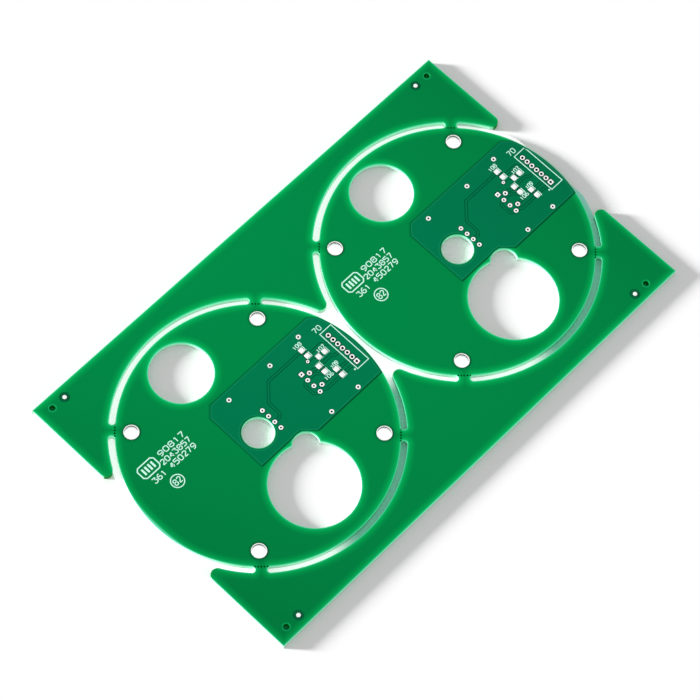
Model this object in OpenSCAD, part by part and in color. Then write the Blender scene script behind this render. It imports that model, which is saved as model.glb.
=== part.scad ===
// Bare printed circuit board panel: two identical round boards held in one routed
// frame by perforated break-off tabs, with etched copper under a green mask, tinned
// pads, plated holes and a printed legend. Millimetres, +Z up, resting on z = 0.

/* [Panel] */
// Diameter of each round board
board_d = 64; // [62:0.5:67]
// Width of the routed slots, and of the gap between the two boards
slot_w = 1.5; // [1:0.1:2.2]
// Width of the panel across its long axis
panel_w = 78.6; // [76:0.2:90]
// Finished thickness of the board, over copper and mask
board_t = 1.6; // [1:0.1:2.4]
// Radius that the router leaves on the frame's points
point_r = 1.6; // [1:0.1:2.4]

/* [Break-off tabs] */
// Angle of each tab from the panel's long axis
tab_angle = 45.8; // [43:0.2:49]
// Width of a tab between the rounded ends of its two slots
tab_w = 2.7; // [2:0.1:4]
// Number of perforations across a tab
bite_count = 5; // [3:2:5]
// Diameter of a perforation
bite_d = 0.45; // [0.3:0.05:0.55]
// Distance between neighbouring perforations
bite_pitch = 0.7; // [0.6:0.05:0.8]

/* [Openings in each board] */
// Diameter of the hole at the middle of the board
centre_d = 7.5; // [5:0.1:8]
// Diameter of the round port
port_d = 15; // [10:0.5:16]
// Place of the port's middle
port_at = [-1.9, 22.5]; // [-24:0.1:24]
// Diameter of the keyhole's round part
key_d = 21; // [16:0.5:22]
// Place of the keyhole's middle
key_at = [0, -17.6]; // [-20:0.1:20]
// Diameter of the lobe that opens the keyhole towards the middle
lobe_d = 6.45; // [4:0.05:7]
// Place of the lobe's middle
lobe_at = [5.5, -9.7]; // [-12:0.1:12]
// Distance between neighbouring mounting holes, which stand on a square
mount_pitch = 40; // [38:0.5:42]
// Bore of a mounting hole inside its plating
mount_d = 3.2; // [2.4:0.1:3.4]
// Width of the tinned land round a mounting hole
mount_ring = 0.2; // [0.15:0.05:0.5]

/* [Panel marks] */
// Diameter of a tooling hole
tooling_d = 1.5; // [1:0.1:2.5]
// Distance of the tooling holes from the panel's long edges
mark_edge = 2.7; // [2.4:0.1:3.2]
// Distance of a tooling hole from the panel's short edge
tooling_inset = 3.6; // [3:0.1:5]
// Distance from a tooling hole to the alignment dot beside it
dot_step = 3.8; // [3:0.1:5]
// Diameter of an alignment dot
dot_d = 1; // [0.6:0.1:1.4]
// Diameter of the window in the mask round an alignment dot
dot_window_d = 2.5; // [1.8:0.1:3]

/* [Header and pin columns] */
// Number of holes in the header
header_pins = 7; // [7:1:8]
// Distance between neighbouring header holes
header_pitch = 1.5; // [1.4:0.05:1.6]
// Distance of the header's row from the board's edge
header_inset = 3.55; // [3.2:0.05:4]
// Height of the header's middle hole
header_y = 1.2; // [0.8:0.1:1.6]
// Diameter of a header hole inside its plating
header_hole_d = 0.65; // [0.5:0.05:0.75]
// Diameter of a header land
header_land_d = 1.2; // [1.1:0.05:1.25]
// Number of holes in a pin column
column_pins = 4; // [4:1:4]
// Distance between neighbouring holes in a column
column_pitch = 1.95; // [1.8:0.05:2.1]
// Place of the first column's middle
column_at = [4.5, 0.2]; // [-5:0.1:6]
// Distance between the two columns
column_gap = 12.6; // [12:0.1:12.8]
// Diameter of a column hole inside its plating
column_hole_d = 0.45; // [0.35:0.05:0.6]
// Diameter of a column land
column_land_d = 1.1; // [1:0.05:1.2]

/* [Pads and vias] */
// Side of a square surface pad
pad_w = 1.25; // [1.1:0.05:1.35]
// Distance between the two pads of a pair
pad_pitch = 1.85; // [1.75:0.05:2]
// Step from the header's middle hole to the upper left pair of pads
pair_a_step = [-7.05, 5.2]; // [-7.4:0.05:6]
// Step from the header's middle hole to the level pair of pads
pair_b_step = [-4.4, 2.3]; // [-4.6:0.05:2.6]
// Step from the header's middle hole to the lower left pair of pads
pair_c_step = [-7.05, -0.3]; // [-7.4:0.05:0]
// Step back from the header's row to the lowest pair of pads
pair_d_step = 4.75; // [4.5:0.05:5]
// Step back and down from the upper left pair to the small via
small_via_step = [1, 2]; // [0.9:0.05:2.2]
// Step back and down from the lower left pair's upper pad to the via of its track
via_c_step = [2.75, -0.325]; // [-0.4:0.05:3]
// Diameter of a via inside its plating
via_hole_d = 0.5; // [0.4:0.05:0.7]
// Diameter of a via's land
via_land_d = 1.15; // [1:0.05:1.2]
// Diameter of the small via inside its plating
small_via_hole_d = 0.3; // [0.25:0.05:0.4]
// Diameter of the small via's land
small_via_land_d = 0.8; // [0.7:0.05:0.9]

/* [Copper] */
// Thickness of the copper foil
copper_t = 0.07; // [0.03:0.005:0.1]
// Width of a track
track_w = 0.4; // [0.25:0.05:0.45]
// Gap between tracks or lands and the pour round them
isolation = 0.22; // [0.18:0.01:0.25]
// Distance of the pour from the board's edge and openings
copper_edge = 0.4; // [0.3:0.05:0.6]
// Lower left corner of the pour, before its corners are cut
pour_low = [-5.1, -6.2]; // [-8:0.1:0]
// Height of the pour's top edge
pour_top = 12.2; // [11.6:0.1:13]
// Height of the pour's bottom edge beyond the keyhole
pour_foot = -9; // [-10:0.1:-8.8]
// Where the pour's bottom edge starts to step down
pour_step_x = 7.1; // [6.8:0.1:8]
// Where the pour's top edge starts to slope down to the board's edge
pour_slope_x = 28.1; // [26:0.1:28.5]
// Size of the cut at the pour's upper left corner
pour_cut = 2.2; // [1:0.1:3]
// Width of a spoke that joins a land to the pour
spoke_w = 0.3; // [0.2:0.05:0.4]

/* [Plating, mask and legend] */
// Thickness of the plating in a hole
plating_t = 0.03; // [0.02:0.005:0.05]
// Thickness of the tin on pads and lands
tin_t = 0.03; // [0.01:0.005:0.04]
// Thickness of the mask
mask_t = 0.03; // [0.02:0.005:0.05]
// How far the mask runs down beside the copper that it covers
mask_side = 0.05; // [0.03:0.01:0.06]
// Gap between a tinned land and the mask round it
mask_gap = 0.08; // [0.07:0.01:0.1]
// Thickness of the legend's ink
ink_t = 0.02; // [0.01:0.005:0.03]
// Width of the line round a pair of pads
bracket_line = 0.15; // [0.12:0.01:0.2]
// Width and length over the brackets round a pair of pads
bracket_size = [1.55, 3.4]; // [1.5:0.05:4]
// How far the legend is printed out of line to the right
ink_shift = 0.12; // [0:0.01:0.2]
// Width of the line round the header
frame_line = 0.2; // [0.15:0.05:0.25]
// Distances from the header's row to the left and right lines of its frame
frame_reach = [1.35, 2.4]; // [1.2:0.05:2.5]
// Distance from the header's end holes to the end lines of its frame
frame_end = 1.6; // [1.2:0.05:2]
// Diameter of the spot at the header's first hole
spot_d = 0.45; // [0.3:0.05:0.6]
// Bare margin along the edge of the second board, where its legend is cut off
ink_margin = 0.55; // [0.4:0.05:0.8]

/* [Hidden] */
$fn = 96;

// Overlap that keeps a cut clear of the faces it passes through
over = 0.5;
// Distance that keeps two edges from meeting at a point where they would only touch
hair = 0.1;

board_r = board_d / 2;
slot_r = board_r + slot_w;
board_gap = board_d + slot_w;
panel_l = board_gap + board_d;

// Levels of the layers
core_t = board_t - copper_t - mask_t;
copper_top = core_t + copper_t;
mask_top = copper_top + mask_t;

// Places on a board, from its middle
header_x = board_r - header_inset;
function header_pin(i) = [header_x, header_y + ((header_pins + 1) / 2 - i) * header_pitch];
function column_pin(column, i) =
    column_at + [column * column_gap, ((column_pins + 1) / 2 - i) * column_pitch];
header_foot = header_pin(header_pins);
pair_a = [header_x, header_y] + pair_a_step;
pair_b = [header_x, header_y] + pair_b_step;
pair_c = [header_x, header_y] + pair_c_step;
pair_d = [header_x - pair_d_step, header_foot[1] + pad_pitch / 2];
UPRIGHT_PAIRS = [pair_a, pair_c, pair_d];
function upper_pad(pair) = pair + [0, pad_pitch / 2];
function lower_pad(pair) = pair - [0, pad_pitch / 2];
left_pad_b = pair_b - [pad_pitch / 2, 0];
right_pad_b = pair_b + [pad_pitch / 2, 0];
small_via = pair_a - small_via_step;
via_c = upper_pad(pair_c) - via_c_step;
via_d = [via_c[0], header_pin(header_pins - 1)[1]];
STITCHING_VIAS = [
    [1, pour_top - 2], [13.6, pour_top - 2.5], [23.3, pour_top - 2],
    [15.4, pour_foot + 1], [24, pour_foot + 1]
];

// A table of lands: place, hole inside the plating, land's width, whether it is square
MOUNT_LANDS = [for (x = [-1, 1], y = [-1, 1])
    [[x, y] * mount_pitch / 2, mount_d, mount_d + 2 * mount_ring, false]];
HEADER_LANDS = [for (i = [1:header_pins])
    [header_pin(i), header_hole_d, header_land_d, i == header_pins]];
COLUMN_LANDS = [for (column = [0, 1], i = [1:column_pins])
    [column_pin(column, i), column_hole_d, column_land_d, column == 1 && i == 1]];
NET_VIA_LANDS = [
    [small_via, small_via_hole_d, small_via_land_d, false],
    [via_c, via_hole_d, via_land_d, false],
    [via_d, via_hole_d, via_land_d, false]
];
STITCHING_LANDS = [for (at = STITCHING_VIAS) [at, via_hole_d, via_land_d, false]];
PIN_LANDS = concat(HEADER_LANDS, COLUMN_LANDS);
VIA_LANDS = concat(NET_VIA_LANDS, STITCHING_LANDS);

// Header holes that spokes join to the pour
SPOKED_PINS = [1, 3, 5];
NET_LANDS = concat(
    NET_VIA_LANDS, COLUMN_LANDS,
    [for (i = [1:header_pins]) if (len(search(i, SPOKED_PINS)) == 0) HEADER_LANDS[i - 1]]
);
SPOKED_LANDS = [for (i = SPOKED_PINS) HEADER_LANDS[i - 1]];

// Surface pads that carry tracks, and the one that lies in the pour
NET_PADS = concat(
    [for (pair = UPRIGHT_PAIRS) upper_pad(pair)],
    [for (pair = UPRIGHT_PAIRS) lower_pad(pair)],
    [left_pad_b]
);
ALL_PADS = concat(NET_PADS, [right_pad_b]);

// A track that runs level from a, slopes at 45 degrees and runs level into b
function elbow(a, b, lead) =
    [a, a + [lead, 0], [a[0] + lead + abs(b[1] - a[1]), b[1]], b];

// The long track climbs from the first column over the pour to the upper pair
riser_x = column_at[0] + 2.3;
riser_run = 0.72;
riser_top = 3.44;
trunk_y = upper_pad(pair_a)[1] - 0.12;
loop_x = column_at[0] + column_gap - 1.45;
loop_cut = 0.65;
LONG_TRACK = [
    column_pin(0, 3),
    [riser_x - riser_run, column_pin(0, 3)[1]],
    [riser_x, column_pin(0, 3)[1] + riser_run],
    [riser_x, riser_top],
    [riser_x + trunk_y - riser_top, trunk_y],
    [pair_a[0], trunk_y]
];
LOOP_TRACK = [
    column_pin(1, 2),
    [loop_x + loop_cut, column_pin(1, 2)[1]],
    [loop_x, column_pin(1, 2)[1] - loop_cut],
    [loop_x, column_pin(1, 4)[1] + loop_cut],
    [loop_x + loop_cut, column_pin(1, 4)[1]],
    column_pin(1, 4)
];
TRACKS = [
    LONG_TRACK,
    LOOP_TRACK,
    elbow(lower_pad(pair_a), header_pin(2), 4.2),
    elbow(via_c, upper_pad(pair_c), 1.2),
    elbow(upper_pad(pair_c), header_pin(4), 3.9),
    [via_d, header_pin(header_pins - 1)],
    elbow(column_pin(1, 4), lower_pad(pair_d), 0.85),
    [lower_pad(pair_d), header_foot],
    elbow(column_pin(1, 2), lower_pad(pair_c), 2.3),
    elbow(small_via, left_pad_b, 1.5),
    [small_via, lower_pad(pair_a)]
];

// Unit normal on the right of the run from a to b
function right_of(a, b) = let (run = (b - a) / norm(b - a)) [run[1], -run[0]];

// Where a corner goes when the edges with normals n and m both move out by side
function mitre(corner, n, m, side) = corner + side * (n + m) / (1 + n * m);

// One side of an open run of points, moved out to its right by side
function side_of(path, side) = [for (i = [0:len(path) - 1])
    let (
        n = right_of(path[max(i - 1, 0)], path[max(i, 1)]),
        m = right_of(path[min(i, len(path) - 2)], path[min(i + 1, len(path) - 1)])
    )
    mitre(path[i], n, m, side)
];
function reversed(list) = [for (i = [len(list) - 1:-1:0]) list[i]];

// A closed outline, given anticlockwise, with every edge moved out by grow
function grown(outline, grow) = [for (i = [0:len(outline) - 1])
    let (
        before = outline[(i + len(outline) - 1) % len(outline)],
        after = outline[(i + 1) % len(outline)]
    )
    mitre(outline[i], right_of(before, outline[i]), right_of(outline[i], after), grow)
];

module track_2d(path, width)
    polygon(concat(side_of(path, width / 2), reversed(side_of(path, -width / 2))));

// A land of the table, wider all round by grow
module land_2d(land, grow)
    translate(land[0])
        if (land[3]) square(land[2] + 2 * grow, center = true);
        else circle(d = land[2] + 2 * grow);

module pad_2d(at, grow) translate(at) square(pad_w + 2 * grow, center = true);

module at_boards() for (side = [-1, 1]) translate([side * board_gap / 2, 0]) children();

// Outline of the panel

// The frame, with its points rounded where two slots, or a slot and an edge, meet. The
// cuts that trim a point pass a hair below the middle of its rounding
module frame_2d() {
    end_x = panel_l / 2 - point_r;
    end_y = sqrt(pow(slot_r + point_r, 2) - pow(end_x - board_gap / 2, 2));
    mid_y = sqrt(pow(slot_r + point_r, 2) - pow(board_gap / 2, 2));
    difference() {
        square([panel_l, panel_w], center = true);
        at_boards() circle(r = slot_r);
        for (turn = [0, 1], flip = [0, 1]) mirror([turn, 0]) mirror([0, flip]) {
            difference() {
                polygon([
                    [board_gap / 2, 0], [panel_l / 2 + over, 0],
                    [panel_l / 2 + over, end_y - hair], [end_x, end_y - hair]
                ]);
                translate([end_x, end_y]) circle(r = point_r);
            }
        }
        for (flip = [0, 1]) mirror([0, flip]) difference() {
            polygon([[-board_gap / 2, 0], [board_gap / 2, 0], [0, mid_y - hair]]);
            translate([0, mid_y]) circle(r = point_r);
        }
    }
}

// The web of one tab, along +X, between the rounded ends of two slots. Its sides stop
// a hair inside the middles of those ends, where they would only touch the board's edge
module tab_2d() {
    slot_mid_r = board_r + slot_w / 2;
    end_turn = (tab_w + slot_w) / 2 / slot_mid_r * 180 / PI;
    side_turn = end_turn - hair / slot_mid_r * 180 / PI;
    reach = slot_r + over;
    difference() {
        intersection() {
            difference() {
                circle(r = reach);
                circle(r = board_r - over);
            }
            polygon([
                [0, 0],
                2 * reach * [cos(side_turn), -sin(side_turn)],
                2 * reach * [cos(side_turn), sin(side_turn)]
            ]);
        }
        for (side = [-1, 1]) rotate(side * end_turn)
            translate([slot_mid_r, 0]) circle(d = slot_w);
    }
}

module at_tabs() for (turn = [-1, 1], half = [0, 1]) rotate(180 * half + turn * tab_angle) children();

module bites_2d()
    for (i = [0:bite_count - 1])
        rotate((i - (bite_count - 1) / 2) * bite_pitch / board_r * 180 / PI)
            translate([board_r, 0]) circle(d = bite_d);

module openings_2d() {
    circle(d = centre_d);
    translate(port_at) circle(d = port_d);
    translate(key_at) circle(d = key_d);
    translate(lobe_at) circle(d = lobe_d);
}

// Tooling hole or alignment dot of each corner, stepped in by step
module at_marks(step)
    for (x = [-1, 1], y = [-1, 1]) {
        odd_corner = x > 0 && y < 0 ? dot_step : 0;
        translate([
            x * (panel_l / 2 - tooling_inset - odd_corner - step),
            y * (panel_w / 2 - mark_edge)
        ]) children();
    }

// The routed and punched blank, with no plated holes
module panel_2d()
    difference() {
        union() {
            frame_2d();
            at_boards() {
                circle(r = board_r);
                at_tabs() tab_2d();
            }
        }
        at_boards() {
            openings_2d();
            at_tabs() bites_2d();
        }
        at_marks(0) circle(d = tooling_d);
    }

// Copper of one board, wider all round by grow

module nets_2d(grow) {
    for (path = TRACKS) track_2d(path, track_w + 2 * grow);
    for (land = NET_LANDS) land_2d(land, grow);
    for (at = NET_PADS) pad_2d(at, grow);
}

module pour_outline_2d(grow) {
    step = pour_low[1] - pour_foot;
    intersection() {
        polygon(grown([
            [pour_low[0], pour_low[1]],
            [pour_step_x, pour_low[1]],
            [pour_step_x + step, pour_foot],
            [pour_slope_x + pour_top, pour_foot],
            [pour_slope_x + pour_top, 0],
            [pour_slope_x, pour_top],
            [pour_low[0] + pour_cut, pour_top],
            [pour_low[0], pour_top - pour_cut]
        ], grow));
        circle(r = board_r - copper_edge + grow);
    }
}

module pour_2d(grow) {
    clear = 2 * (copper_edge - grow);
    difference() {
        pour_outline_2d(grow);
        nets_2d(isolation - grow);
        for (land = SPOKED_LANDS) land_2d(land, isolation - grow);
        circle(d = centre_d + clear);
        translate(key_at) circle(d = key_d + clear);
        translate(lobe_at) circle(d = lobe_d + clear);
    }
    for (land = SPOKED_LANDS) {
        land_2d(land, grow);
        translate(land[0])
            square([land[2] + 4 * isolation, spoke_w + 2 * grow], center = true);
    }
}

module copper_2d(grow) {
    pour_2d(grow);
    nets_2d(grow);
}

// Holes that the plating lines
module plated_holes_2d(lands)
    for (land = lands) translate(land[0]) circle(d = land[1] + 2 * plating_t);

// Where the mask is left open over tinned pads and lands
module windows_2d() {
    for (land = concat(PIN_LANDS, VIA_LANDS, MOUNT_LANDS)) land_2d(land, mask_gap);
    for (at = ALL_PADS) pad_2d(at, mask_gap);
}

// A layer of the given thickness with its lower face at level
module layer(level, thickness)
    translate([0, 0, level]) linear_extrude(thickness) children();

// Plated holes: a lining from face to face, a tinned land on the copper and a land
// let into the underside
module plated_holes(lands)
    color("gainsboro") at_boards() difference() {
        union() {
            layer(copper_top, tin_t) for (land = lands) land_2d(land, 0);
            layer(0, copper_top + tin_t) plated_holes_2d(lands);
            layer(0, copper_t) for (land = lands) land_2d(land, 0);
        }
        layer(-over, board_t + 2 * over)
            for (land = lands) translate(land[0]) circle(d = land[1]);
    }

// Sub-parts

module laminate()
    color("palegreen") difference() {
        layer(0, core_t) difference() {
            panel_2d();
            at_boards() plated_holes_2d(concat(PIN_LANDS, VIA_LANDS, MOUNT_LANDS));
        }
        layer(-over, copper_t + over) at_boards()
            for (land = concat(PIN_LANDS, VIA_LANDS, MOUNT_LANDS)) land_2d(land, 0);
    }

module pour_copper()
    color("seagreen") layer(core_t, copper_t) at_boards() difference() {
        pour_2d(0);
        plated_holes_2d(concat(SPOKED_LANDS, STITCHING_LANDS));
    }

module track_copper()
    color("mediumseagreen") layer(core_t, copper_t) at_boards() difference() {
        union() {
            nets_2d(0);
            for (land = MOUNT_LANDS) land_2d(land, 0);
        }
        plated_holes_2d(concat(NET_LANDS, MOUNT_LANDS));
    }

module solder_mask()
    color("green") difference() {
        union() {
            layer(core_t, mask_t) panel_2d();
            layer(core_t + mask_t / 2, mask_top - core_t - mask_t / 2)
                at_boards() copper_2d(mask_side);
        }
        layer(core_t - over, copper_t + over) at_boards() copper_2d(0);
        layer(core_t - over, board_t) at_boards() windows_2d();
        layer(core_t - over, board_t) at_marks(dot_step) circle(d = dot_window_d);
    }

module pad_tin()
    color("gainsboro") layer(copper_top, tin_t) at_boards() for (at = ALL_PADS) pad_2d(at, 0);

module via_plating() plated_holes(VIA_LANDS);

module pin_hole_plating() plated_holes(PIN_LANDS);

module mounting_hole_plating() plated_holes(MOUNT_LANDS);

module alignment_dots()
    color("gainsboro") layer(core_t, copper_t + tin_t) at_marks(dot_step) circle(d = dot_d);

// Two brackets that face each other round an upright pair of pads
module brackets_2d()
    difference() {
        square(bracket_size, center = true);
        square(bracket_size - 2 * bracket_line * [1, 1], center = true);
        square([bracket_size[0] + over, pad_pitch - pad_w], center = true);
    }

module header_frame_2d() {
    end = (header_pins - 1) / 2 * header_pitch + frame_end;
    translate([header_x - frame_reach[0], header_y - end]) difference() {
        square([frame_reach[0] + frame_reach[1], 2 * end]);
        translate(frame_line * [1, 1])
            square([frame_reach[0] + frame_reach[1], 2 * end] - 2 * frame_line * [1, 1]);
    }
    translate(header_foot - [frame_reach[0] + spot_d, frame_end - spot_d]) circle(d = spot_d);
}

module legend_2d()
    difference() {
        union() {
            for (pair = UPRIGHT_PAIRS) translate(pair + [ink_shift, 0]) brackets_2d();
            translate(pair_b + [ink_shift, 0]) rotate(90) brackets_2d();
            header_frame_2d();
        }
        windows_2d();
    }

module legend_ink() {
    level = core_t + mask_t;
    color("honeydew") difference() {
        layer(level, mask_top + ink_t - level) {
            translate([-board_gap / 2, 0]) legend_2d();
            translate([board_gap / 2, 0]) intersection() {
                legend_2d();
                circle(r = board_r - ink_margin);
            }
        }
        layer(level - over, mask_top - level + over) at_boards() copper_2d(mask_side);
    }
}

laminate();
pour_copper();
track_copper();
solder_mask();
pad_tin();
via_plating();
pin_hole_plating();
mounting_hole_plating();
alignment_dots();
legend_ink();
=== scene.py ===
import math
import bmesh
import bpy
from mathutils import Matrix, Vector


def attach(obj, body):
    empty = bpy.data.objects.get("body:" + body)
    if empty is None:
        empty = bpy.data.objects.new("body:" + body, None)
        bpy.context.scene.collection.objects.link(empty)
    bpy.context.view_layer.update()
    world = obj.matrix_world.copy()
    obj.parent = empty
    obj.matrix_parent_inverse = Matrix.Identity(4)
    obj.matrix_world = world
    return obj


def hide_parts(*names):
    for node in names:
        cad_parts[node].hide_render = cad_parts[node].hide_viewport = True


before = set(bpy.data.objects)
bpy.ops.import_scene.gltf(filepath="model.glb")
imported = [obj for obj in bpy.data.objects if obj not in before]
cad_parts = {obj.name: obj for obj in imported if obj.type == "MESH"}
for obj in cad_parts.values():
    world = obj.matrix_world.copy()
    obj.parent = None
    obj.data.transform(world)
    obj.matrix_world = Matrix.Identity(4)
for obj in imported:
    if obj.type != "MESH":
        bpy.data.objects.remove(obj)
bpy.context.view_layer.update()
scene = bpy.context.scene
mm = 0.001
weld = 0.001 * mm   # vertices nearer than this are one


def tone(red, green, blue):   # an sRGB colour, 0 to 255, as Blender's linear one
    def straight(value):
        value = value / 255
        return value / 12.92 if value <= 0.04045 else ((value + 0.055) / 1.055) ** 2.4
    return (straight(red), straight(green), straight(blue), 1)


def sumOf(operation, turned=False):   # a method of Wire that runs one math operation on two values
    def act(self, other):
        values = (other, self) if turned else (self, other)
        return self.run(operation, *values)
    return act


class Wire:   # a number in a node tree, so that sums on it read as sums
    def __init__(self, tree, socket):
        self.tree, self.socket = tree, socket

    def run(self, operation, *values):
        node = self.tree.nodes.new("ShaderNodeMath")
        node.operation = operation
        for slot, value in zip(node.inputs, values):
            feed(self.tree, value, slot)
        return Wire(self.tree, node.outputs[0])

    __add__, __radd__ = sumOf("ADD"), sumOf("ADD", turned=True)
    __sub__, __rsub__ = sumOf("SUBTRACT"), sumOf("SUBTRACT", turned=True)
    __mul__, __rmul__ = sumOf("MULTIPLY"), sumOf("MULTIPLY", turned=True)
    __truediv__, __rtruediv__ = sumOf("DIVIDE"), sumOf("DIVIDE", turned=True)
    __lt__, __gt__ = sumOf("LESS_THAN"), sumOf("GREATER_THAN")
    least, most = sumOf("MINIMUM"), sumOf("MAXIMUM")
    __pow__, angleTo = sumOf("POWER"), sumOf("ARCTAN2")

    def __abs__(self):
        return self.run("ABSOLUTE", self)

    def sine(self):
        return self.run("SINE", self)

    def cosine(self):
        return self.run("COSINE", self)

    def ramp(self, low, high, atLow=0.0, atHigh=1.0, shape="SMOOTHSTEP"):
        node = self.tree.nodes.new("ShaderNodeMapRange")
        node.interpolation_type = shape
        for slot, value in zip(node.inputs, (self, low, high, atLow, atHigh)):
            feed(self.tree, value, slot)
        return Wire(self.tree, node.outputs[0])


def feed(tree, value, slot):
    if isinstance(value, Wire):
        tree.links.new(value.socket, slot)
    elif isinstance(value, bpy.types.NodeSocket):
        tree.links.new(value, slot)
    else:
        slot.default_value = value


def across(a, b):
    return (a * a + b * b) ** 0.5


def put(tree, kind, **settings):
    node = tree.nodes.new(kind)
    for key, value in settings.items():
        setattr(node, key, value)
    return node


def newTree(name, kind, inputs, outputs):
    tree = bpy.data.node_groups.new(name, kind)
    for label, socketKind, value in inputs:
        socket = tree.interface.new_socket(label, in_out="INPUT", socket_type=socketKind)
        if value is not None:
            socket.default_value = value
    for label, socketKind in outputs:
        tree.interface.new_socket(label, in_out="OUTPUT", socket_type=socketKind)
    return tree, put(tree, "NodeGroupInput"), put(tree, "NodeGroupOutput")


def blendColour(tree, amount, first, second):
    node = put(tree, "ShaderNodeMix", data_type="RGBA")
    feed(tree, amount, node.inputs[0])
    feed(tree, first, node.inputs[6])
    feed(tree, second, node.inputs[7])
    return node.outputs[2]


def colourRamp(tree, value, stops):
    node = put(tree, "ShaderNodeValToRGB")
    node.color_ramp.interpolation = "LINEAR"
    while len(node.color_ramp.elements) < len(stops):
        node.color_ramp.elements.new(0.5)
    for element, (place, colour) in zip(node.color_ramp.elements, stops):
        element.position, element.color = place, colour
    feed(tree, value, node.inputs[0])
    return node.outputs[0]


def objectPlace(tree):   # Object coordinates as three wires, in millimetres
    coordinates = put(tree, "ShaderNodeTexCoord")
    parts = put(tree, "ShaderNodeSeparateXYZ")
    tree.links.new(coordinates.outputs["Object"], parts.inputs[0])
    return [Wire(tree, socket) * (1 / mm) for socket in parts.outputs]


def useGroup(tree, group, **values):
    node = put(tree, "ShaderNodeGroup", node_tree=group)
    for label, value in values.items():
        feed(tree, value, node.inputs[label])
    return node


def seenDirectly(tree):   # 1 for the rays that show a surface, 0 for those that only light others
    path = put(tree, "ShaderNodeLightPath")
    seen = Wire(tree, path.outputs["Is Camera Ray"])
    for label in ("Is Glossy Ray", "Is Transmission Ray"):
        seen = seen.most(Wire(tree, path.outputs[label]))
    return seen


def addBump(tree, shader, height, strength, depth):   # depth in millimetres
    bump = put(tree, "ShaderNodeBump")
    bump.inputs["Strength"].default_value = strength
    bump.inputs["Distance"].default_value = depth * mm
    feed(tree, height, bump.inputs["Height"])
    feed(tree, bump.outputs[0], shader.inputs["Normal"])


def newMaterial(name):
    material = bpy.data.materials.new(name)
    material.use_nodes = True
    tree = material.node_tree
    tree.nodes.clear()
    shader, out = put(tree, "ShaderNodeBsdfPrincipled"), put(tree, "ShaderNodeOutputMaterial")
    tree.links.new(shader.outputs[0], out.inputs[0])
    return material, tree, shader


def dress(node, material):
    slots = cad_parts[node].data.materials
    slots.clear()
    slots.append(material)


# the board's outline, as the materials need it, in millimetres
outline = {
    "boardDiameter": 64, "slotWidth": 1.5, "panelWidth": 78.6, "thickness": 1.6, "core": 1.5,
    "tabAngle": 45.8, "tabWidth": 2.7,
    "centreDiameter": 7.5, "portDiameter": 15, "portAt": (-1.9, 22.5),
    "keyDiameter": 21, "keyAt": (0, -17.6), "lobeDiameter": 6.45, "lobeAt": (5.5, -9.7),
    "mountPitch": 40, "mountDiameter": 3.6,
    "toolingDiameter": 1.5, "toolingInset": 3.6, "markEdge": 2.7, "dotStep": 3.8,
    "pourLow": (-5.1, -6.2), "pourTop": 12.2, "pourFoot": -9, "pourStepX": 7.1,
    "pourSlopeX": 28.1, "pourCut": 2.2, "pourEdge": 0.4,
    "edgeBlend": 2.4,   # how softly the distances to two edges meet
    "lightTurn": 131, "shadeTurn": (-0.74, -0.52), "shadeReach": (0.05, 0.3),
}
boardRadius = outline["boardDiameter"] / 2
boardGap = outline["boardDiameter"] + outline["slotWidth"]
panelLength = boardGap + outline["boardDiameter"]


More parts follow.
